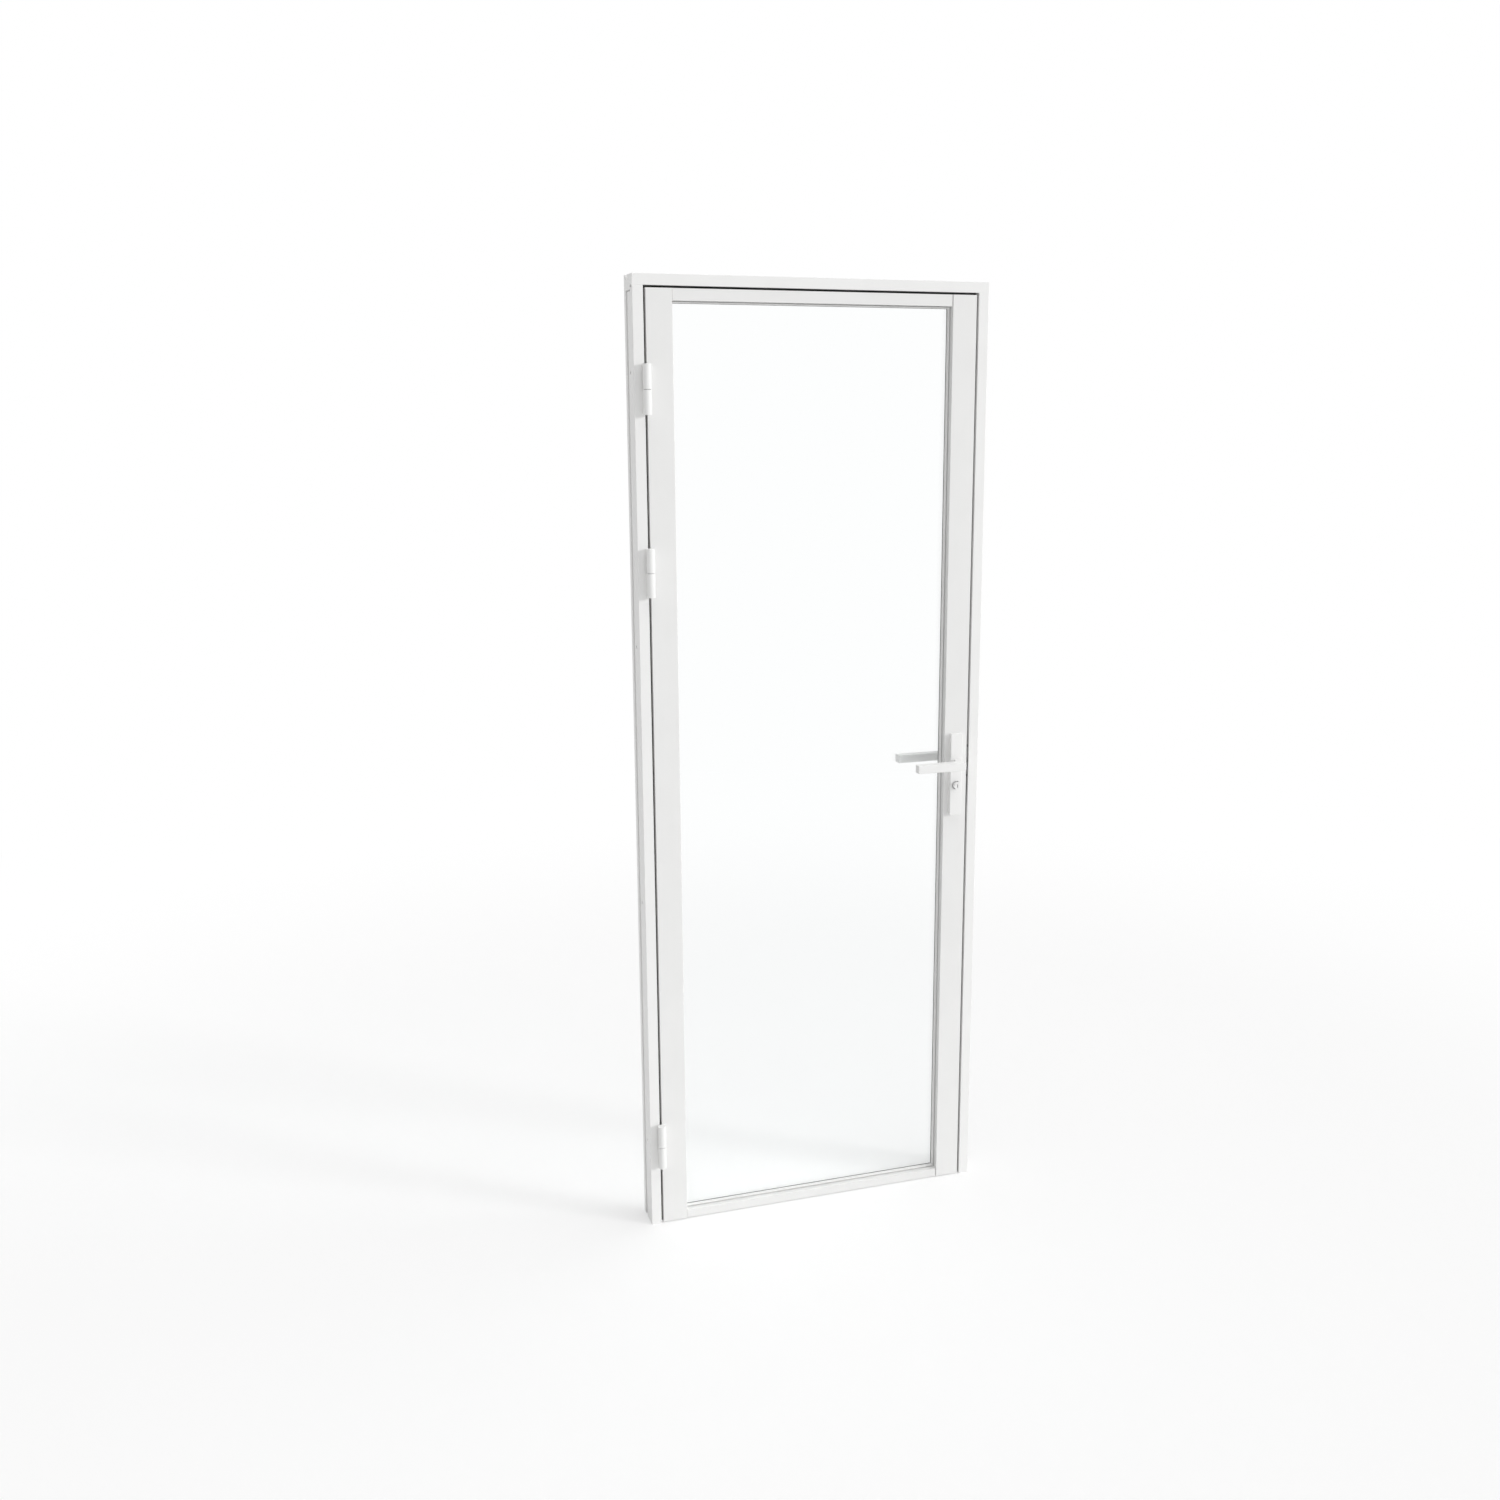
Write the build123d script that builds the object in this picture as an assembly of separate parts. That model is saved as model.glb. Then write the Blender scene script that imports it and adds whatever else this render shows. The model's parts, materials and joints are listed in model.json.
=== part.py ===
from build123d import *
import math
import os

os.makedirs("parts", exist_ok=True)

# Interior door: a slim metal-framed glass leaf hung in a metal frame that stands round the doorway.
# X runs across the doorway from the hinge side, Y runs back through the wall and Z runs up.
# The origin lies at floor level on the rear strip of the hinge jamb's wall face.

# The frame round the doorway
frame_width = 810.0
frame_height = 2145.0
frame_depth = 74.0
frame_face = 23.0
stop_depth = 20.0
stop_step = 8.5
origin_depth = 63.0
groove_front = 45.0
groove_width = 14.0
groove_sunk = 12.0
frame_edge_round = 0.6
open_joint_front = 9.0
open_joint_back = 58.0
open_joint_height = 4.0
open_joint_sunk = 16.0

# The gaps round the leaf
hinge_gap = 5.0
latch_gap = 5.5
head_gap = 5.0
floor_gap = 2.0

# The leaf's metal members
leaf_depth = 40.0
flange_depth = 15.0
stile_face = 57.0
top_rail_face = 25.0
bottom_rail_face = 20.0
rail_recess = 1.8
rail_seam_width = 1.0
rail_seam_sunk = 4.0
hinge_inset = 8.5
latch_inset = 10.0
top_inset = 10.0
leaf_edge_round = 0.8

# The glass, the slot that holds its edges and the beads in front of it
glass_thickness = 8.0
glass_bite = 8.0
slot_sunk = 9.0
bead_front = 15.0
bead_depth = 11.5
bead_proud = 4.2
bead_round = 0.5
bead_seam_width = 1.9
bead_seam_sunk = 4.0

# The rubber stop seals
seal_width = 8.0
seal_side_gap = 0.2
seal_clearance = 0.3
seal_round = 1.2

# The barrel hinges
hinge_low_height = 198.0
hinge_top_drop = 234.0
hinge_pair_spacing = 384.0
barrel_r = 9.0
barrel_length = 105.0
barrel_stand_off = 2.0
barrel_split = 0.8
barrel_end_bevel = 0.6
knuckle_foot_side = 3.0
knuckle_foot_width = 4.0
knuckle_wall = 5.0
knuckle_cap = 4.0
pin_clearance = 0.1
pin_end_gap = 0.5

# The lock, its cover plates and its cylinder
spindle_height = 1057.5
backset = 30.0
spindle_side = 8.0
spindle_hole_r = 7.0
spindle_clearance = 0.1
plate_width = 30.0
plate_height = 196.5
plate_thickness = 10.0
plate_centre_drop = 28.0
plate_corner_r = 5.0
plate_edge_bevel = 1.0
cylinder_r = 8.5
cylinder_drop = 53.5
cylinder_proud = 9.0
cylinder_clearance = 0.1
cylinder_plate_gap = 1.5
cylinder_edge_bevel = 0.6
key_slot_width = 2.0
key_slot_height = 9.0
key_slot_sunk = 5.0

# The lever handles
lever_reach = 120.0
lever_section_depth = 22.0
lever_section_height = 18.5
lever_projection = 53.0
lever_neck_width = 13.0
lever_inner_round = 16.0
lever_outer_round = 3.0
lever_tip_round = 3.0
lever_edge_bevel = 0.6
lever_stand_off = 1.0
boss_r = 8.0
boss_clearance = 0.3
boss_end_gap = 1.0
socket_depth = 30.0

# The lock's faceplate and latch bolt in the leaf's edge
faceplate_width = 12.0
faceplate_height = 160.0
faceplate_thickness = 2.0
faceplate_drop = 28.0
latch_bolt_width = 9.0
latch_bolt_height = 34.0
latch_bolt_length = 18.0
latch_bolt_clearance = 0.3

# The strike plate and its pocket in the latch jamb
strike_width = 14.0
strike_height = 90.0
strike_thickness = 1.5
strike_opening_width = 12.0
strike_opening_height = 36.0
strike_pocket_sunk = 14.0
strike_corner_r = 2.0

# The fixing holes through the jambs
fixing_hole_r = 3.5
fixing_hole_depth = 30.0
fixing_head_r = 6.5
fixing_end_distance = 200.0
fixing_count = 4

# Places worked out from the sizes above
front_y = -origin_depth
groove_back = groove_front + groove_width
stop_face = frame_face + stop_step
leaf_left = frame_face + hinge_gap
leaf_right = frame_width - frame_face - latch_gap
leaf_bottom = floor_gap
leaf_top = frame_height - frame_face - head_gap
pane_left = leaf_left + stile_face
pane_right = leaf_right - stile_face
pane_bottom = leaf_bottom + bottom_rail_face
pane_top = leaf_top - top_rail_face
glass_front = bead_front + bead_depth
glass_back = glass_front + glass_thickness
pin_x = frame_face + hinge_gap / 2
pin_depth = -(barrel_r + barrel_stand_off)
pin_r = barrel_r - knuckle_wall
spindle_x = leaf_right - backset
plate_centre_z = spindle_height - plate_centre_drop
cylinder_z = spindle_height - cylinder_drop
faceplate_z = spindle_height - faceplate_drop
bolt_depth = flange_depth / 2
leaf_middle = leaf_depth / 2
hinge_top_height = frame_height - hinge_top_drop
hinge_heights = [hinge_low_height, hinge_top_height - hinge_pair_spacing, hinge_top_height]
fixing_spacing = (frame_height - 2 * fixing_end_distance) / (fixing_count - 1)
fixing_heights = [fixing_end_distance + step * fixing_spacing for step in range(fixing_count)]


def y_at(depth):
    """Y of a point that lies this far behind the frame's front face."""
    return front_y + depth


def block(x_range, depth_range, z_range):
    """A square-edged block between two X, two depths behind the front face and two Z."""
    size = (x_range[1] - x_range[0], depth_range[1] - depth_range[0], z_range[1] - z_range[0])
    centre = (sum(x_range) / 2, y_at(sum(depth_range) / 2), sum(z_range) / 2)
    return Pos(*centre) * Box(*size)


def upright(section, z_range):
    """Extrude a section of (x, depth) points between two heights."""
    face = make_face(Polyline(*[(x, y_at(d)) for x, d in section], close=True))
    return Pos(0, 0, z_range[0]) * extrude(face, amount=z_range[1] - z_range[0])


def crossbar(section, x_range):
    """Extrude a section of (z, depth) points along X between two places."""
    face = make_face(Polyline(*[(y_at(d), z) for z, d in section], close=True))
    return Pos(x_range[0], 0, 0) * extrude(Plane.YZ * face, amount=x_range[1] - x_range[0])


def round_long_edges(body, along, at, radius):
    """Round the edges parallel to an axis that pass through the listed points of the section."""
    chosen = []
    for edge in body.edges().filter_by(along):
        middle = edge.center()
        place = (middle.X, middle.Y) if along == Axis.Z else (middle.Z, middle.Y)
        if any(math.dist(place, (a, y_at(d))) < radius / 10 for a, d in at):
            chosen.append(edge)
    return fillet(chosen, radius)


def frame_section(side):
    """Section of the frame's profile, as distance in from the wall face and depth."""
    points = [
        (0, 0),
        (frame_face, 0),
        (frame_face, stop_depth),
        (stop_face, stop_depth),
        (stop_face, frame_depth),
        (0, frame_depth),
        (0, groove_back),
        (groove_sunk, groove_back),
        (groove_sunk, groove_front),
        (0, groove_front),
    ]
    return [(side(u), d) for u, d in points]


def frame_arrises(side):
    """The corners of the frame's section that a hand or eye meets, which are rounded."""
    points = [(0, 0), (frame_face, 0), (stop_face, stop_depth), (stop_face, frame_depth)]
    return [(side(u), d) for u, d in points]


def jamb(side):
    """One upright of the frame, cut at its top to the head's stepped section."""
    body = upright(frame_section(side), (0, frame_height - frame_face))
    body = round_long_edges(body, Axis.Z, frame_arrises(side), frame_edge_round)
    x_range = sorted((side(0), side(stop_face)))
    head_room = block(x_range, (stop_depth, frame_depth), (frame_height - stop_face, frame_height))
    body -= head_room
    body -= open_joint(side, (open_joint_front, stop_depth), frame_height - frame_face)
    body -= open_joint(side, (stop_depth, open_joint_back), frame_height - stop_face)
    for height in fixing_heights:
        body -= fixing_hole(side, height)
    return body


def open_joint(side, depth_range, top):
    """The open part of the joint under the head, seen on the wall face as a dark slot."""
    x_range = sorted((side(0), side(open_joint_sunk)))
    return block(x_range, depth_range, (top - open_joint_height, top))


def fixing_hole(side, height):
    """A countersunk screw hole from the stop's face through to the wall face."""
    sink = fixing_head_r - fixing_hole_r
    hole = Pos(0, 0, -stop_face / 2) * Cylinder(fixing_hole_r, stop_face)
    cone = Pos(0, 0, -sink / 2) * Cone(fixing_hole_r, fixing_head_r, sink)
    inward = 1 if side(1) > side(0) else -1
    place = Plane(
        origin=(side(stop_face), y_at(fixing_hole_depth), height), z_dir=(inward, 0, 0)
    )
    return place * (hole + cone)


def hinge_side(u):
    """X of a point this far in from the hinge jamb's wall face."""
    return u


def latch_side(u):
    """X of a point this far in from the latch jamb's wall face."""
    return frame_width - u


def under_top(u):
    """Z of a point this far below the head's top face."""
    return frame_height - u


def hinge_jamb():
    """The jamb that carries the hinges."""
    return jamb(hinge_side)


def latch_jamb():
    """The jamb with the strike plate's seat and the pocket for the latch bolt."""
    body = jamb(latch_side)
    face_x = latch_side(frame_face)
    seat_x = (face_x, face_x + strike_thickness)
    body -= strike_blank(seat_x, strike_width, strike_height)
    return body - strike_opening((face_x, face_x + strike_pocket_sunk))


def head():
    """The frame's top member, which runs over both jambs from wall face to wall face."""
    body = crossbar(frame_section(under_top), (0, frame_width))
    return round_long_edges(body, Axis.X, frame_arrises(under_top), frame_edge_round)


def seal_section(side):
    """Section of a stop seal on the face of the frame's stop step."""
    outer = stop_face - seal_side_gap
    front = flange_depth + seal_clearance
    points = [
        (outer - seal_width, stop_depth),
        (outer - seal_width, front),
        (outer, front),
        (outer, stop_depth),
    ]
    return [(side(u), d) for u, d in points]


def seal_arrises(side):
    """The two front corners of a seal's section."""
    return seal_section(side)[1:3]


def side_seal(side):
    """An upright seal that runs up past the head's seal."""
    body = upright(seal_section(side), (0, frame_height - stop_face + seal_side_gap + seal_width))
    return round_long_edges(body, Axis.Z, seal_arrises(side), seal_round)


def head_seal():
    """The seal under the head, cut to fit between the two upright ones."""
    inner = stop_face - seal_side_gap
    body = crossbar(seal_section(under_top), (inner, frame_width - inner))
    return round_long_edges(body, Axis.X, seal_arrises(under_top), seal_round)


def strike_blank(x_range, width, height):
    """A flat plate with rounded corners that stands upright across the jamb's rebate."""
    outline = RectangleRounded(width, height, strike_corner_r)
    place = Plane(origin=(x_range[0], y_at(bolt_depth), spindle_height), x_dir=(0, 1, 0), z_dir=(1, 0, 0))
    return extrude(place * outline, amount=x_range[1] - x_range[0])


def strike_opening(x_range):
    """The square-cornered opening that takes the latch bolt, level with the spindle."""
    side = strike_opening_width / 2
    half = strike_opening_height / 2
    return block(x_range, (bolt_depth - side, bolt_depth + side), (spindle_height - half, spindle_height + half))


def strike_plate():
    """The strike plate, let in flush, with the opening that takes the latch bolt."""
    face_x = latch_side(frame_face)
    x_range = (face_x, face_x + strike_thickness)
    return strike_blank(x_range, strike_width, strike_height) - strike_opening(x_range)


def member_section(face, inset, front, back):
    """Section of a leaf member, from its outer edge inwards, with the flange at its front."""
    points = [(0, front), (face, front), (face, back), (inset, back)]
    if inset > 0:
        points.append((inset, flange_depth))
        points.append((0, flange_depth))
    return points


def member_arrises(face, inset, front, back):
    """The outer corners of a leaf member's section that are rounded."""
    return [(0, front), (face, front), (inset, back)]


def glass_slot():
    """The room that the four members leave round the pane for the glass's edges."""
    x_range = (pane_left - slot_sunk, pane_right + slot_sunk)
    z_range = (pane_bottom - slot_sunk, pane_top + slot_sunk)
    return block(x_range, (glass_front, glass_back), z_range)


def stile(side, inset):
    """An upright of the leaf, slotted for the glass."""
    section = [(side(s), d) for s, d in member_section(stile_face, inset, 0, leaf_depth)]
    arrises = [(side(s), d) for s, d in member_arrises(stile_face, inset, 0, leaf_depth)]
    body = upright(section, (leaf_bottom, leaf_top))
    body = round_long_edges(body, Axis.Z, arrises, leaf_edge_round)
    whole_x = sorted((side(0), side(stile_face)))
    body -= block(whole_x, (flange_depth, leaf_depth), (leaf_top - top_inset, leaf_top))
    return body - glass_slot()


def from_leaf_left(s):
    """X of a point this far in from the leaf's hinge edge."""
    return leaf_left + s


def from_leaf_right(s):
    """X of a point this far in from the leaf's latch edge."""
    return leaf_right - s


def hinge_stile():
    """The leaf's stile on the hinge side."""
    return stile(from_leaf_left, hinge_inset)


def latch_stile():
    """The leaf's stile on the latch side, bored and cut for the lock."""
    body = stile(from_leaf_right, latch_inset)
    body -= cross_rod(spindle_hole_r, spindle_height, (0, leaf_depth))
    body -= cross_rod(cylinder_r + cylinder_clearance, cylinder_z, (0, leaf_depth))
    body -= faceplate_blank()
    return body - latch_block(latch_bolt_clearance, latch_bolt_length)


def cross_rod(radius, height, depth_range):
    """A round rod through the leaf on the spindle's line, at a height and between two depths."""
    length = depth_range[1] - depth_range[0]
    place = Plane(origin=(spindle_x, y_at(depth_range[0]), height), z_dir=(0, 1, 0))
    return extrude(place * Circle(radius), amount=length)


def rail(level, face, inset):
    """A crossbar of the leaf between the stiles, a little behind their faces, slotted for the glass."""
    front = rail_recess
    back = leaf_depth - rail_recess
    section = [(level(s), d) for s, d in member_section(face, inset, front, back)]
    body = crossbar(section, (pane_left, pane_right)) - glass_slot()
    whole_z = sorted((level(0), level(face)))
    for x_range in ((pane_left, pane_left + rail_seam_width), (pane_right - rail_seam_width, pane_right)):
        body -= block(x_range, (front, front + rail_seam_sunk), whole_z)
    return body


def from_leaf_top(s):
    """Z of a point this far below the leaf's top edge."""
    return leaf_top - s


def from_leaf_bottom(s):
    """Z of a point this far above the leaf's bottom edge."""
    return leaf_bottom + s


def top_rail():
    """The leaf's top rail, flanged like the stiles."""
    return rail(from_leaf_top, top_rail_face, top_inset)


def bottom_rail():
    """The leaf's bottom rail, with no flange, because the doorway has no sill."""
    return rail(from_leaf_bottom, bottom_rail_face, 0)


def glass_pane():
    """The glass, with its edges in the members' slots."""
    x_range = (pane_left - glass_bite, pane_right + glass_bite)
    z_range = (pane_bottom - glass_bite, pane_top + glass_bite)
    return block(x_range, (glass_front, glass_back), z_range)


def bead_section(start, inward):
    """Section of a glazing bead, from the member's inner face towards the pane's middle."""
    seam = start + inward * bead_seam_width
    tip = start + inward * bead_proud
    return [
        (tip, bead_front),
        (tip, glass_front),
        (start, glass_front),
        (start, bead_front + bead_seam_sunk),
        (seam, bead_front + bead_seam_sunk),
        (seam, bead_front),
    ]


def side_bead(start, inward):
    """An upright glazing bead that runs the whole height between the rails."""
    section = bead_section(start, inward)
    body = upright(section, (pane_bottom, pane_top))
    return round_long_edges(body, Axis.Z, section[:1], bead_round)


def cross_bead(start, inward):
    """A level glazing bead, cut to fit between the two upright ones."""
    section = bead_section(start, inward)
    body = crossbar(section, (pane_left + bead_proud, pane_right - bead_proud))
    return round_long_edges(body, Axis.X, section[:1], bead_round)


def knuckle(z_range, foot_edge, closed_end):
    """Half of a hinge: a bored barrel with a foot that reaches back to the face it is fixed to."""
    height = z_range[1] - z_range[0]
    middle_z = sum(z_range) / 2
    barrel = Pos(pin_x, y_at(pin_depth), middle_z) * Cylinder(barrel_r, height)
    barrel = chamfer(barrel.edges().filter_by(GeomType.CIRCLE), barrel_end_bevel)
    foot_far = knuckle_foot_side + knuckle_foot_width
    foot_x = sorted((pin_x + foot_edge * knuckle_foot_side, pin_x + foot_edge * foot_far))
    foot = block(foot_x, (pin_depth, 0), (z_range[0] + barrel_end_bevel, z_range[1] - barrel_end_bevel))
    bore_z = (z_range[0] + knuckle_cap, z_range[1])
    if closed_end > 0:
        bore_z = (z_range[0], z_range[1] - knuckle_cap)
    bore = Pos(pin_x, y_at(pin_depth), sum(bore_z) / 2) * Cylinder(
        pin_r + pin_clearance, bore_z[1] - bore_z[0]
    )
    return barrel + foot - bore


def frame_knuckle(height):
    """The lower half of a hinge, on the face of the hinge jamb."""
    z_range = (height - barrel_length / 2, height - barrel_split / 2)
    return knuckle(z_range, -1, -1)


def leaf_knuckle(height):
    """The upper half of a hinge, on the face of the hinge stile."""
    z_range = (height + barrel_split / 2, height + barrel_length / 2)
    return knuckle(z_range, 1, 1)


def hinge_pin(height):
    """The pin that stands in the lower knuckle and carries the upper one."""
    low = height - barrel_length / 2 + knuckle_cap
    high = height + barrel_length / 2 - knuckle_cap - pin_end_gap
    return Pos(pin_x, y_at(pin_depth), (low + high) / 2) * Cylinder(pin_r, high - low)


def plate_blank(depth_range):
    """A cover plate's block, before its holes are made."""
    outline = RectangleRounded(plate_width, plate_height, plate_corner_r)
    place = Plane(
        origin=(spindle_x, y_at(depth_range[0]), plate_centre_z), x_dir=(1, 0, 0), z_dir=(0, -1, 0)
    )
    return extrude(place * outline, amount=-(depth_range[1] - depth_range[0]))


def cover_plate(depth_range, show_depth):
    """A cover plate with its outer arris rounded and its two round holes."""
    body = plate_blank(depth_range)
    rim = [
        edge
        for edge in body.edges()
        if max(abs(point.Y - y_at(show_depth)) for point in (edge @ 0, edge @ 1)) < plate_edge_bevel / 2
    ]
    body = chamfer(rim, plate_edge_bevel)
    body -= cross_rod(boss_r + boss_clearance, spindle_height, depth_range)
    return body - cross_rod(cylinder_r + cylinder_plate_gap, cylinder_z, depth_range)


def front_plate():
    """The cover plate on the front of the latch stile."""
    return cover_plate((-plate_thickness, 0), -plate_thickness)


def rear_plate():
    """The cover plate on the back of the latch stile."""
    rear = leaf_depth + plate_thickness
    return cover_plate((leaf_depth, rear), rear)


def lock_cylinder():
    """The round lock cylinder, which runs through the leaf, with a key slot in each end."""
    reach = plate_thickness + cylinder_proud
    depth_range = (-reach, leaf_depth + reach)
    body = cross_rod(cylinder_r, cylinder_z, depth_range)
    body = chamfer(body.edges().filter_by(GeomType.CIRCLE), cylinder_edge_bevel)
    slot_x = (spindle_x - key_slot_width / 2, spindle_x + key_slot_width / 2)
    slot_z = (cylinder_z - key_slot_height / 2, cylinder_z + key_slot_height / 2)
    body -= block(slot_x, (depth_range[0], depth_range[0] + key_slot_sunk), slot_z)
    body -= block(slot_x, (depth_range[1] - key_slot_sunk, depth_range[1]), slot_z)
    return body


def faceplate_blank():
    """The outline of the lock's faceplate, let in flush with the leaf's latch edge."""
    outline = RectangleRounded(faceplate_width, faceplate_height, strike_corner_r)
    place = Plane(
        origin=(leaf_right - faceplate_thickness, y_at(bolt_depth), faceplate_z),
        x_dir=(0, 1, 0),
        z_dir=(1, 0, 0),
    )
    return extrude(place * outline, amount=faceplate_thickness)


def latch_block(clearance, length):
    """The latch bolt's block, or with a clearance the opening round it."""
    side = latch_bolt_width / 2 + clearance
    half = latch_bolt_height / 2 + clearance
    x_range = (leaf_right - length, leaf_right)
    return block(x_range, (bolt_depth - side, bolt_depth + side), (spindle_height - half, spindle_height + half))


def lock_faceplate():
    """The lock's faceplate, open where the latch bolt comes out."""
    return faceplate_blank() - latch_block(latch_bolt_clearance, faceplate_thickness)


def latch_bolt():
    """The latch bolt, drawn back flush with the faceplate."""
    return latch_block(0, latch_bolt_length)


def lever_outline():
    """The lever seen from above: a square bar with a neck that turns in towards the plate."""
    near = plate_thickness + lever_stand_off
    far = lever_projection
    inner = far - lever_section_depth
    right = lever_neck_width / 2
    left = right - lever_reach
    points = [(left, inner), (-right, inner), (-right, near), (right, near), (right, far), (left, far)]
    return points


def lever():
    """A lever handle in the front's place, its free end towards the hinges."""
    points = [(spindle_x + a, y_at(-out)) for a, out in lever_outline()]
    face = make_face(Polyline(*points, close=True))
    half = lever_section_height / 2
    bar = Pos(0, 0, spindle_height - half) * extrude(face, amount=lever_section_height)
    uprights = bar.edges().filter_by(Axis.Z)
    inner_corner = nearest(uprights, points[1])
    bar = fillet([inner_corner], lever_inner_round)
    for corner, radius in ((points[0], lever_tip_round), (points[4], lever_outer_round)):
        bar = fillet([nearest(bar.edges().filter_by(Axis.Z), corner)], radius)
    level_edges = bar.edges().group_by(Axis.Z)
    bar = chamfer(level_edges[0] + level_edges[-1], lever_edge_bevel)
    boss_depth = (-(plate_thickness + lever_stand_off), -boss_end_gap)
    bar += cross_rod(boss_r, spindle_height, boss_depth)
    side = spindle_side / 2 + spindle_clearance
    socket_depths = (-(boss_end_gap + socket_depth), -boss_end_gap)
    bar -= block(
        (spindle_x - side, spindle_x + side), socket_depths, (spindle_height - side, spindle_height + side)
    )
    return bar


def nearest(edges, point):
    """The upright edge that stands nearest to a point of the plan."""
    return min(edges, key=lambda edge: math.dist((edge.center().X, edge.center().Y), point))


def front_lever():
    """The lever on the front of the leaf."""
    return lever()


def rear_lever():
    """The lever on the back, the front one mirrored about the middle of the leaf's depth."""
    return lever().mirror(Plane.XZ.offset(-y_at(leaf_middle)))


def spindle():
    """The square spindle that joins the two levers through the lock."""
    inset = boss_end_gap + socket_depth - spindle_clearance
    half = spindle_side / 2
    return block(
        (spindle_x - half, spindle_x + half),
        (-inset, leaf_depth + inset),
        (spindle_height - half, spindle_height + half),
    )


def all_pieces():
    """Every piece of the door by its name."""
    pieces = {
        "hinge_jamb": hinge_jamb(),
        "latch_jamb": latch_jamb(),
        "head": head(),
        "hinge_seal": side_seal(hinge_side),
        "latch_seal": side_seal(latch_side),
        "head_seal": head_seal(),
        "strike_plate": strike_plate(),
        "hinge_stile": hinge_stile(),
        "latch_stile": latch_stile(),
        "top_rail": top_rail(),
        "bottom_rail": bottom_rail(),
        "glass_pane": glass_pane(),
        "bead_hinge_side": side_bead(pane_left, 1),
        "bead_latch_side": side_bead(pane_right, -1),
        "bead_top": cross_bead(pane_top, -1),
        "bead_bottom": cross_bead(pane_bottom, 1),
        "front_plate": front_plate(),
        "rear_plate": rear_plate(),
        "lock_cylinder": lock_cylinder(),
        "lock_faceplate": lock_faceplate(),
        "latch_bolt": latch_bolt(),
        "spindle": spindle(),
        "front_lever": front_lever(),
        "rear_lever": rear_lever(),
    }
    for number, height in enumerate(hinge_heights, start=1):
        pieces[f"frame_knuckle_{number}"] = frame_knuckle(height)
        pieces[f"leaf_knuckle_{number}"] = leaf_knuckle(height)
        pieces[f"hinge_pin_{number}"] = hinge_pin(height)
    return pieces


for name, piece in all_pieces().items():
    export_step(piece, f"parts/{name}.step")
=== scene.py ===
import json
import math

import bmesh
import bpy
from mathutils import Euler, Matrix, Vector


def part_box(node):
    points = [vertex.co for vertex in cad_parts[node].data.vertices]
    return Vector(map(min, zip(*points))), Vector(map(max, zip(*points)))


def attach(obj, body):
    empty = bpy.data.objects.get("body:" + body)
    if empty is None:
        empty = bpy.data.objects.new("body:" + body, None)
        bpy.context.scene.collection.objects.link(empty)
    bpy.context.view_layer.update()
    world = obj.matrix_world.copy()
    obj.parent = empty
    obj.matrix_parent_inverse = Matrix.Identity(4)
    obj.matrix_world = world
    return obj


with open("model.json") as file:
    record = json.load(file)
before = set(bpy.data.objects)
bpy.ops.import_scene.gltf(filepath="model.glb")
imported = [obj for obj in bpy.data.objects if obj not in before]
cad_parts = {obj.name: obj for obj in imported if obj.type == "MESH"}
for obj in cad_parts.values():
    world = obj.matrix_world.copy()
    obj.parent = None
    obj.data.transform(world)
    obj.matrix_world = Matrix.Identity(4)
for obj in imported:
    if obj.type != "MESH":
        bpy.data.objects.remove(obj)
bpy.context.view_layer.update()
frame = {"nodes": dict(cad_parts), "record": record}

MM = 0.001
NODES = frame["nodes"]

# The door frame's outer corners, in metres; the floor is at its feet
FRAME_LOW = Vector(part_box("hinge_jamb")[0])
FRAME_HIGH = Vector((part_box("latch_jamb")[1].x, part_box("head")[1].y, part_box("head")[1].z))
FRAME_HEIGHT = FRAME_HIGH.z
FLOOR_Z = 0.0


# Materials

# Where a cloudy pattern of 0 to 1 starts and ends taking a surface from its darker to its lighter colour
BLEND_FROM = 0.35
BLEND_TO = 0.65
# How many times longer than wide the scratches of a ground metal are
SCRATCH_STRETCH = 40


def linear(hex_colour):
    """An sRGB colour written as six hex digits, as linear red, green, blue and 1."""
    parts = [int(hex_colour[i:i + 2], 16) / 255 for i in (0, 2, 4)]
    curved = [c / 12.92 if c <= 0.04045 else ((c + 0.055) / 1.055) ** 2.4 for c in parts]
    return (*curved, 1.0)


def add_node(tree, kind, links=None, **settings):
    """Add a node; links maps an input's name or place to a value or to a (node, output) pair."""
    node = tree.nodes.new(kind)
    for name, value in settings.items():
        setattr(node, name, value)
    for name, source in (links or {}).items():
        if isinstance(source, tuple) and isinstance(source[0], bpy.types.Node):
            tree.links.new(source[0].outputs[source[1]], node.inputs[name])
        else:
            node.inputs[name].default_value = source
    return node


def new_material(name):
    """An empty node material and its tree."""
    material = bpy.data.materials.new(name)
    material.use_nodes = True
    material.node_tree.nodes.clear()
    return material, material.node_tree


def cloudy_pattern(tree, cell_mm, detail):
    """Soft patches in the surface, about this many millimetres wide."""
    place = add_node(tree, "ShaderNodeTexCoord")
    return add_node(
        tree,
        "ShaderNodeTexNoise",
        {"Vector": (place, "Object"), "Scale": 1 / (cell_mm * MM), "Detail": detail},
    )


def drifting_colour(tree, pattern, low, high):
    """A colour that drifts between two hex colours with a pattern."""
    ramp = add_node(tree, "ShaderNodeValToRGB", {"Fac": (pattern, "Fac")})
    for element, position, colour in zip(ramp.color_ramp.elements, (BLEND_FROM, BLEND_TO), (low, high)):
        element.position = position
        element.color = linear(colour)
    return ramp


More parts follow.
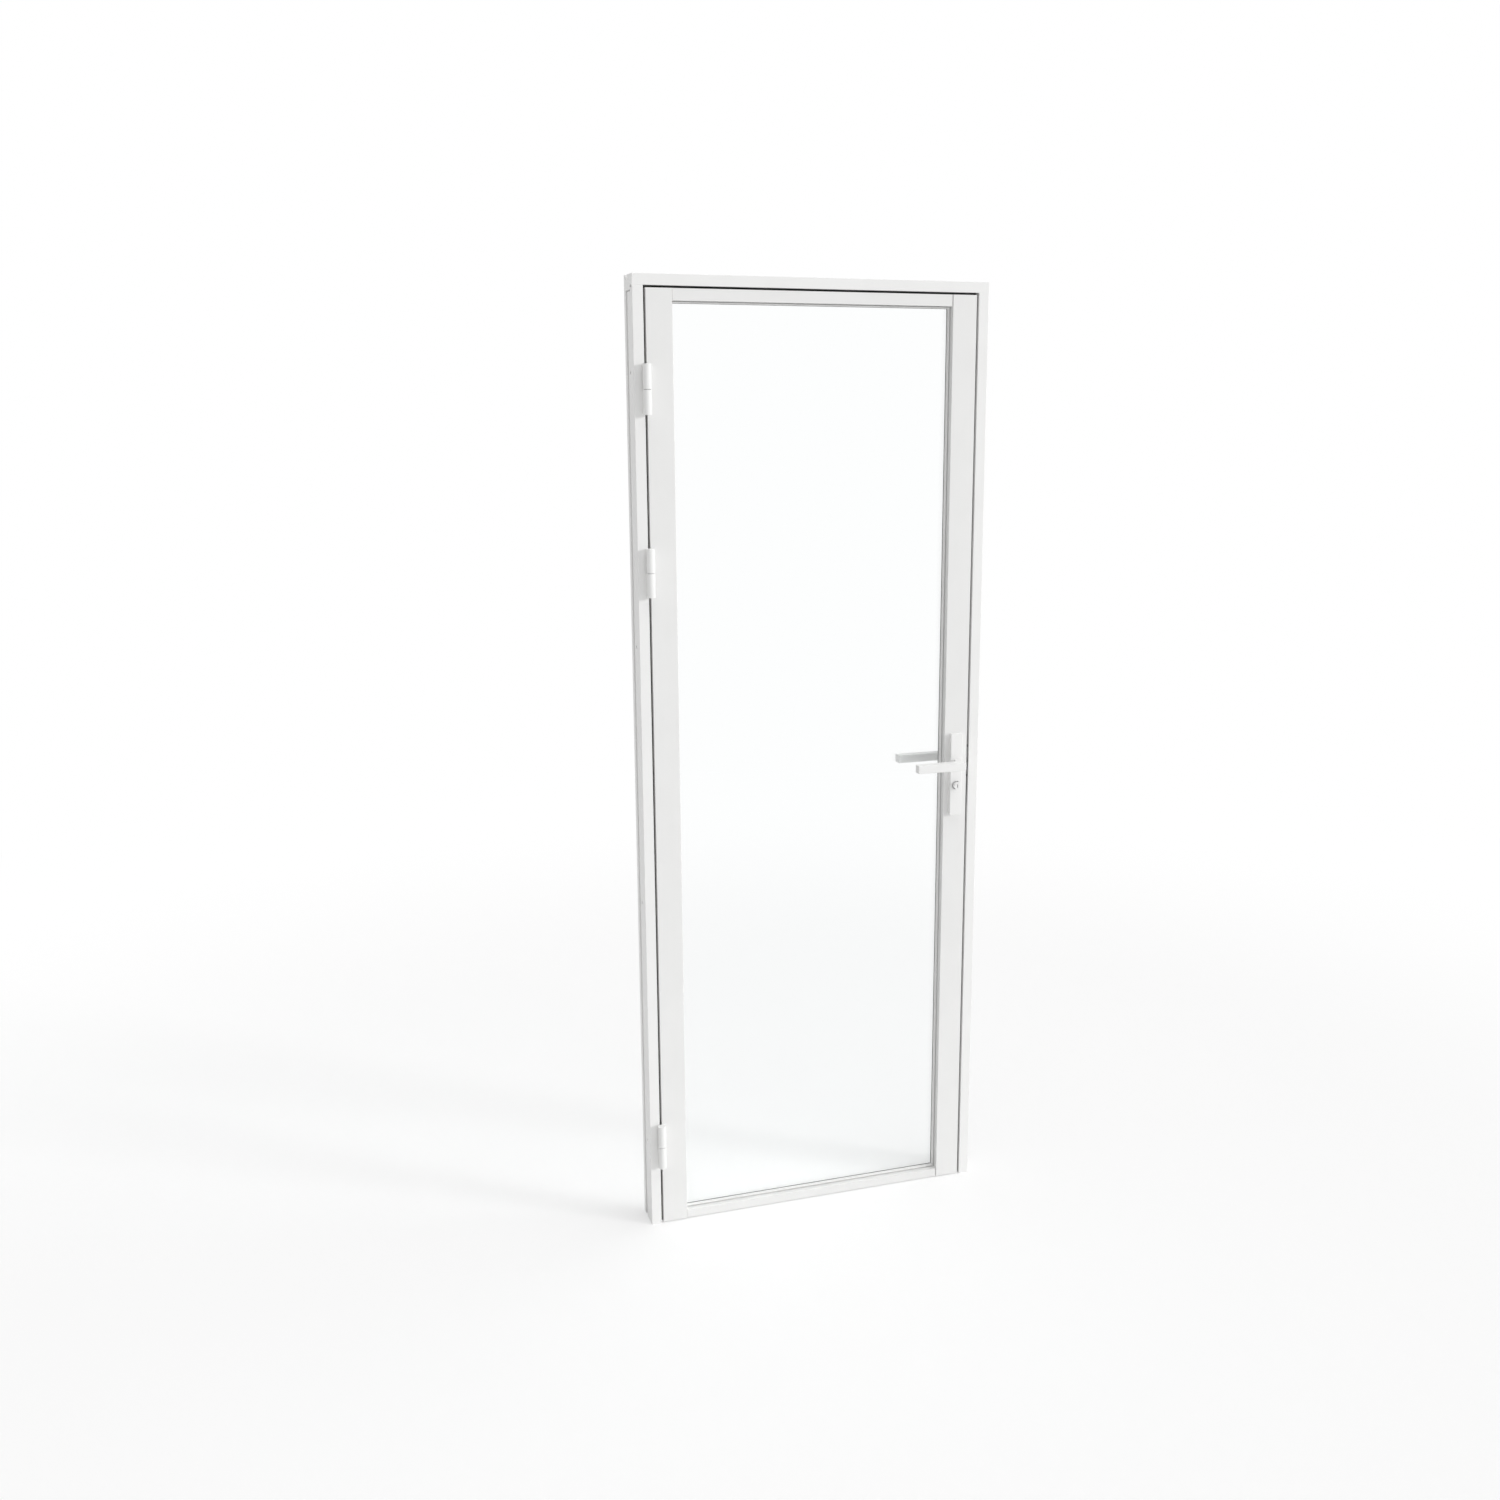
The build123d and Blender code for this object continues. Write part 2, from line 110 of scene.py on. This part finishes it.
def baked_coat(name, low, high, roughness, peel_mm):
    """Powder coat or lacquer, sprayed and oven-cured: a satin white film with a faint orange peel."""
    material, tree = new_material(name)
    mottle = cloudy_pattern(tree, cell_mm=90.0, detail=2.0)
    colour = drifting_colour(tree, mottle, low, high)
    # Real orange peel is 1 to 2 mm across, finer than a pixel of the render, so it is drawn coarser
    peel = cloudy_pattern(tree, peel_mm, detail=1.0)
    bump = add_node(
        tree, "ShaderNodeBump", {"Height": (peel, "Fac"), "Strength": 0.03, "Distance": 0.05 * MM}
    )
    shader = add_node(
        tree,
        "ShaderNodeBsdfPrincipled",
        {"Base Color": (colour, "Color"), "Roughness": roughness, "IOR": 1.5, "Normal": (bump, "Normal")},
    )
    add_node(tree, "ShaderNodeOutputMaterial", {"Surface": (shader, "BSDF")})
    return material


def clear_float_glass(name):
    """Toughened float glass: clear, with the slight waviness that its rollers leave in reflections."""
    material, tree = new_material(name)
    waves = cloudy_pattern(tree, cell_mm=180.0, detail=0.0)
    bump = add_node(
        tree, "ShaderNodeBump", {"Height": (waves, "Fac"), "Strength": 0.1, "Distance": 0.05 * MM}
    )
    shader = add_node(
        tree,
        "ShaderNodeBsdfPrincipled",
        {
            "Base Color": linear("FDFEFE"),
            "Roughness": 0.0,
            "IOR": 1.52,
            "Transmission Weight": 1.0,
            "Normal": (bump, "Normal"),
        },
    )
    # Lamps reach what is behind the pane through a plain film, a little weakened as by 8 mm of glass
    film = add_node(tree, "ShaderNodeBsdfTransparent", {"Color": linear("F6F8F7")})
    path = add_node(tree, "ShaderNodeLightPath")
    mix = add_node(
        tree,
        "ShaderNodeMixShader",
        {"Fac": (path, "Is Shadow Ray"), 1: (shader, "BSDF"), 2: (film, "BSDF")},
    )
    add_node(tree, "ShaderNodeOutputMaterial", {"Surface": (mix, "Shader")})
    return material


def seal_rubber(name):
    """Extruded EPDM rubber: matt black, with a dusty bloom in soft patches."""
    material, tree = new_material(name)
    bloom = cloudy_pattern(tree, cell_mm=25.0, detail=3.0)
    colour = drifting_colour(tree, bloom, "161617", "1F1F20")
    shader = add_node(
        tree, "ShaderNodeBsdfPrincipled", {"Base Color": (colour, "Color"), "Roughness": 0.75, "IOR": 1.52}
    )
    add_node(tree, "ShaderNodeOutputMaterial", {"Surface": (shader, "BSDF")})
    return material


def brushed_metal(name, low, high, grain_mm, roughness):
    """Ground steel or its zinc plating: fine scratches along the piece's height."""
    material, tree = new_material(name)
    place = add_node(tree, "ShaderNodeTexCoord")
    # Real grinding marks are under 0.1 mm wide, too fine to show, so they are drawn coarser
    across = 1 / (grain_mm * MM)
    stretch = add_node(
        tree,
        "ShaderNodeMapping",
        {"Vector": (place, "Object"), "Scale": (across, across, across / SCRATCH_STRETCH)},
    )
    scratches = add_node(
        tree,
        "ShaderNodeTexNoise",
        {"Vector": (stretch, "Vector"), "Scale": 1.0, "Detail": 2.0, "Roughness": 0.6},
    )
    colour = drifting_colour(tree, scratches, low, high)
    bump = add_node(
        tree, "ShaderNodeBump", {"Height": (scratches, "Fac"), "Strength": 0.15, "Distance": 0.02 * MM}
    )
    shader = add_node(
        tree,
        "ShaderNodeBsdfPrincipled",
        {
            "Base Color": (colour, "Color"),
            "Metallic": 1.0,
            "Roughness": roughness,
            "Normal": (bump, "Normal"),
        },
    )
    add_node(tree, "ShaderNodeOutputMaterial", {"Surface": (shader, "BSDF")})
    return material


# The frame is a shade whiter than the leaf; the cast hinges and handles have a finer film than the profiles
FINISHES = {
    "frame_white": baked_coat("powder_coat_frame", "EFEFEE", "F1F1F0", roughness=0.42, peel_mm=4.0),
    "leaf_white": baked_coat("powder_coat_leaf", "EAEAE9", "ECECEB", roughness=0.42, peel_mm=4.0),
    "handle_white": baked_coat("lacquer_handle", "EFEFEE", "F2F2F1", roughness=0.46, peel_mm=3.0),
    "clear_glass": clear_float_glass("clear_float_glass"),
    "seal_rubber": seal_rubber("epdm_rubber"),
    "satin_steel": brushed_metal("ground_steel", "B4B5B5", "C6C7C7", grain_mm=0.8, roughness=0.34),
    "plated_steel": brushed_metal("zinc_plated_steel", "A9ABAD", "BFC1C3", grain_mm=1.2, roughness=0.4),
}


def dress_cad_nodes():
    """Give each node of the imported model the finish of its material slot."""
    for part in frame["record"]["subparts"]:
        node = NODES[part["node"]]
        node.data.materials.clear()
        node.data.materials.append(FINISHES[part["material_slot"]])


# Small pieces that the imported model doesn't have

# The rubber lips on the glass: the width that shows, their thickness, and their reach into what holds them
GASKET_WIDTH = 0.6 * MM
GASKET_DEPTH = 1.4 * MM
GASKET_SUNK = 0.3 * MM

# The bearing rings of the three hinges
HINGES = (1, 2, 3)
WASHER_R = 7.4 * MM
WASHER_PIN_GAP = 0.1 * MM
WASHER_STEPS = 32

# The screws of the strike plate and the lock's faceplate
SCREW_R = 3.4 * MM
SCREW_PROUD = 0.3 * MM
SCREW_SUNK = 1.0 * MM
SCREW_SIDES = 24
SOCKET_R = 1.5 * MM
SOCKET_SUNK = 0.9 * MM
SOCKET_LOBES = 6
# What is left of the socket's radius between two lobes
SOCKET_WAIST = 0.8
STRIKE_SCREW_INSET = 9 * MM
FACEPLATE_SCREW_INSET = 8 * MM


def new_piece(name, shape, body, slot):
    """Turn a bmesh into a finished piece that rides on a body."""
    mesh = bpy.data.meshes.new(name)
    bmesh.ops.recalc_face_normals(shape, faces=shape.faces)
    shape.to_mesh(mesh)
    shape.free()
    piece = bpy.data.objects.new(name, mesh)
    bpy.context.scene.collection.objects.link(piece)
    mesh.materials.append(FINISHES[slot])
    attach(piece, body)


def gasket_lip(name, low, high):
    """One straight lip of a gasket, between two corners."""
    shape = bmesh.new()
    bmesh.ops.create_cube(shape, size=1.0)
    low, high = Vector(low), Vector(high)
    bmesh.ops.scale(shape, verts=shape.verts, vec=high - low)
    bmesh.ops.translate(shape, verts=shape.verts, vec=(low + high) / 2)
    new_piece(name, shape, "leaf", "seal_rubber")


def gasket_ring(side, opening, near, far):
    """Four lips along an opening's left, right, bottom and top, from one depth to another."""
    left, right, bottom, top = opening
    inner_left, inner_right = left + GASKET_WIDTH, right - GASKET_WIDTH
    spans = {
        "hinge_side": (left - GASKET_SUNK, inner_left, bottom, top),
        "latch_side": (inner_right, right + GASKET_SUNK, bottom, top),
        "top": (inner_left, inner_right, top - GASKET_WIDTH, top + GASKET_SUNK),
        "bottom": (inner_left, inner_right, bottom - GASKET_SUNK, bottom + GASKET_WIDTH),
    }
    for edge, (x0, x1, z0, z1) in spans.items():
        gasket_lip(f"gasket_{side}_{edge}", (x0, near, z0), (x1, far, z1))


def glazing_gaskets():
    """The thin rubber gaskets on the glass: inside its beads in front, inside the leaf's members behind."""
    glass_low, glass_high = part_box("glass_pane")
    inside_beads = (
        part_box("bead_hinge_side")[1].x,
        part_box("bead_latch_side")[0].x,
        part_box("bead_bottom")[1].z,
        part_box("bead_top")[0].z,
    )
    inside_members = (
        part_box("hinge_stile")[1].x,
        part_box("latch_stile")[0].x,
        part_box("bottom_rail")[1].z,
        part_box("top_rail")[0].z,
    )
    gasket_ring("front", inside_beads, glass_low.y - GASKET_DEPTH, glass_low.y)
    gasket_ring("rear", inside_members, glass_high.y, glass_high.y + GASKET_DEPTH)


def hinge_washer(number):
    """The black bearing ring in the split between the two halves of a hinge, finished like the seals."""
    pin_low, pin_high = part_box(f"hinge_pin_{number}")
    centre = (pin_low + pin_high) / 2
    inner_r = (pin_high.x - pin_low.x) / 2 + WASHER_PIN_GAP
    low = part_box(f"frame_knuckle_{number}")[1].z
    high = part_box(f"leaf_knuckle_{number}")[0].z
    shape = bmesh.new()
    corners = [(inner_r, low), (WASHER_R, low), (WASHER_R, high), (inner_r, high)]
    verts = [shape.verts.new((centre.x + r, centre.y, z)) for r, z in corners]
    edges = [shape.edges.new(pair) for pair in zip(verts, verts[1:] + verts[:1])]
    bmesh.ops.spin(
        shape,
        geom=verts + edges,
        cent=centre,
        axis=(0, 0, 1),
        angle=2 * math.pi,
        steps=WASHER_STEPS,
        use_merge=True,
    )
    new_piece(f"hinge_washer_{number}", shape, "frame", "seal_rubber")


def flat_screw(name, place, towards, body):
    """A countersunk screw's flat head with a lobed socket; towards is +1 or -1 along X."""
    shape = bmesh.new()
    height = SCREW_PROUD + SCREW_SUNK
    bmesh.ops.create_cone(
        shape,
        cap_ends=True,
        segments=SCREW_SIDES,
        radius1=SCREW_R - SCREW_SUNK / 2,
        radius2=SCREW_R,
        depth=height,
    )
    bmesh.ops.translate(shape, verts=shape.verts, vec=(0, 0, SCREW_PROUD - height / 2))
    top = max(shape.faces, key=lambda face: face.calc_center_median().z)
    bmesh.ops.inset_region(shape, faces=[top], thickness=SCREW_R - SOCKET_R)
    lobe_sides = SCREW_SIDES // SOCKET_LOBES
    for index, vert in enumerate(top.verts):
        if index % lobe_sides < lobe_sides // 2:
            vert.co.x *= SOCKET_WAIST
            vert.co.y *= SOCKET_WAIST
    floor = bmesh.ops.extrude_discrete_faces(shape, faces=[top])["faces"][0]
    bmesh.ops.translate(shape, verts=floor.verts, vec=(0, 0, -SOCKET_SUNK))
    turn = Euler((0, math.pi / 2 * towards, 0)).to_matrix()
    bmesh.ops.rotate(shape, verts=shape.verts, cent=(0, 0, 0), matrix=turn)
    bmesh.ops.translate(shape, verts=shape.verts, vec=place)
    new_piece(name, shape, body, "plated_steel")


def plate_screws(node, towards, body, inset):
    """Two screws near the ends of a plate that lies in an upright face."""
    low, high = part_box(node)
    x = high.x if towards > 0 else low.x
    middle_y = (low.y + high.y) / 2
    for end, z in (("low", low.z + inset), ("high", high.z - inset)):
        flat_screw(f"{node}_screw_{end}", (x, middle_y, z), towards, body)


# The studio: a pale floor that fades to white, even light, a lamp from the right and a soft one overhead

# Metres from the door's middle to the floor's edge, and to where it starts and ends fading to white
FLOOR_R = 14.0
FLOOR_SIDES = 96
FADE_START = 1.6
FADE_END = 4.5
# The white share of what the floor shows beside the door, and how bright that share is
FADE_LEAST = 0.3
GLOW_NEAR = 1.1

# The world's even light on the door, and the two lamps
AMBIENT = 0.43
KEY_TOWARDS = (0.80, -0.58, 0.22)
KEY_STRENGTH = 1.35
KEY_SPREAD_DEG = 12
OVERHEAD_TOWARDS = (0.15, -0.18, 1.0)
OVERHEAD_STRENGTH = 1.35
OVERHEAD_SPREAD_DEG = 60


def seen_rays(tree):
    """1 for rays that show the background: straight, by reflection or through glass."""
    path = add_node(tree, "ShaderNodeLightPath")
    first = add_node(
        tree,
        "ShaderNodeMath",
        {0: (path, "Is Camera Ray"), 1: (path, "Is Glossy Ray")},
        operation="MAXIMUM",
    )
    return add_node(
        tree,
        "ShaderNodeMath",
        {0: (first, "Value"), 1: (path, "Is Transmission Ray")},
        operation="MAXIMUM",
    )


def floor_finish(middle):
    """Matt paint that keeps the shadow near the middle and fades to the white background far out."""
    material, tree = new_material("pale_studio_floor")
    place = add_node(tree, "ShaderNodeTexCoord")
    away = add_node(tree, "ShaderNodeVectorMath", {0: (place, "Object"), 1: middle}, operation="SUBTRACT")
    distance = add_node(tree, "ShaderNodeVectorMath", {0: (away, "Vector")}, operation="LENGTH")
    fade = add_node(
        tree,
        "ShaderNodeMapRange",
        {"Value": (distance, "Value"), "From Min": FADE_START, "From Max": FADE_END, "To Min": FADE_LEAST},
        interpolation_type="SMOOTHSTEP",
    )
    # Near the object the white share glows a little, as a floor lit for a cut-out does
    glow = add_node(
        tree, "ShaderNodeMapRange", {"Value": (fade, "Result"), "From Min": FADE_LEAST, "To Min": GLOW_NEAR}
    )
    share = add_node(
        tree, "ShaderNodeMath", {0: (fade, "Result"), 1: (seen_rays(tree), "Value")}, operation="MULTIPLY"
    )
    matt = add_node(tree, "ShaderNodeBsdfDiffuse", {"Color": linear("F8F8F8")})
    white = add_node(tree, "ShaderNodeEmission", {"Color": linear("FFFFFF"), "Strength": (glow, "Result")})
    mix = add_node(
        tree, "ShaderNodeMixShader", {"Fac": (share, "Value"), 1: (matt, "BSDF"), 2: (white, "Emission")}
    )
    add_node(tree, "ShaderNodeOutputMaterial", {"Surface": (mix, "Shader")})
    return material


def studio_floor():
    """The round floor under the door's feet."""
    middle = (FRAME_LOW + FRAME_HIGH) / 2
    middle = (middle.x, middle.y, FLOOR_Z)
    shape = bmesh.new()
    bmesh.ops.create_circle(shape, cap_ends=True, segments=FLOOR_SIDES, radius=FLOOR_R)
    bmesh.ops.translate(shape, verts=shape.verts, vec=middle)
    mesh = bpy.data.meshes.new("studio_floor")
    shape.to_mesh(mesh)
    shape.free()
    floor = bpy.data.objects.new("studio_floor", mesh)
    bpy.context.scene.collection.objects.link(floor)
    mesh.materials.append(floor_finish(middle))


def studio_world():
    """White where it is seen, and a dimmer even light for the object."""
    world = bpy.data.worlds.new("studio")
    world.use_nodes = True
    tree = world.node_tree
    tree.nodes.clear()
    soft = add_node(tree, "ShaderNodeBackground", {"Color": linear("FFFFFF"), "Strength": AMBIENT})
    white = add_node(tree, "ShaderNodeBackground", {"Color": linear("FFFFFF"), "Strength": 1.0})
    mix = add_node(
        tree,
        "ShaderNodeMixShader",
        {"Fac": (seen_rays(tree), "Value"), 1: (soft, "Background"), 2: (white, "Background")},
    )
    add_node(tree, "ShaderNodeOutputWorld", {"Surface": (mix, "Shader")})
    bpy.context.scene.world = world


def sun(name, towards, strength, spread_deg):
    """A soft distant lamp; towards points from the door to the lamp."""
    data = bpy.data.lights.new(name, "SUN")
    data.energy = strength
    data.angle = math.radians(spread_deg)
    lamp = bpy.data.objects.new(name, data)
    lamp.rotation_euler = Vector(towards).to_track_quat("Z", "Y").to_euler()
    bpy.context.scene.collection.objects.link(lamp)


# The camera, solved from the photograph's edges with the frame's height as the measure
CAMERA_AT = Vector((-0.362, -1.549, 0.878)) * FRAME_HEIGHT
PITCH_DEG = 12.35
YAW_DEG = 18.93
FOCAL_PX = 1585.0
IMAGE_PX = 1500.0
CENTRE_X_PX = 798.6
SENSOR_MM = 36.0
CLIP_END = 100.0


def photo_camera():
    """The camera at the photograph's place, which is measured from the frame's front left foot."""
    data = bpy.data.cameras.new("photo_camera")
    data.sensor_width = SENSOR_MM
    data.lens = FOCAL_PX / IMAGE_PX * SENSOR_MM
    data.shift_x = (IMAGE_PX / 2 - CENTRE_X_PX) / IMAGE_PX
    data.clip_end = CLIP_END
    camera = bpy.data.objects.new("photo_camera", data)
    camera.location = Vector((FRAME_LOW.x, FRAME_LOW.y, FLOOR_Z)) + CAMERA_AT
    camera.rotation_euler = Euler((math.radians(90 - PITCH_DEG), 0, math.radians(-YAW_DEG)))
    bpy.context.scene.collection.objects.link(camera)
    bpy.context.scene.camera = camera


dress_cad_nodes()
glazing_gaskets()
for number in HINGES:
    hinge_washer(number)
plate_screws("strike_plate", -1, "frame", STRIKE_SCREW_INSET)
plate_screws("lock_faceplate", 1, "leaf", FACEPLATE_SCREW_INSET)
studio_floor()
studio_world()
sun("key_from_right", KEY_TOWARDS, KEY_STRENGTH, KEY_SPREAD_DEG)
sun("overhead", OVERHEAD_TOWARDS, OVERHEAD_STRENGTH, OVERHEAD_SPREAD_DEG)
photo_camera()

bpy.context.scene.view_settings.view_transform = "Standard"
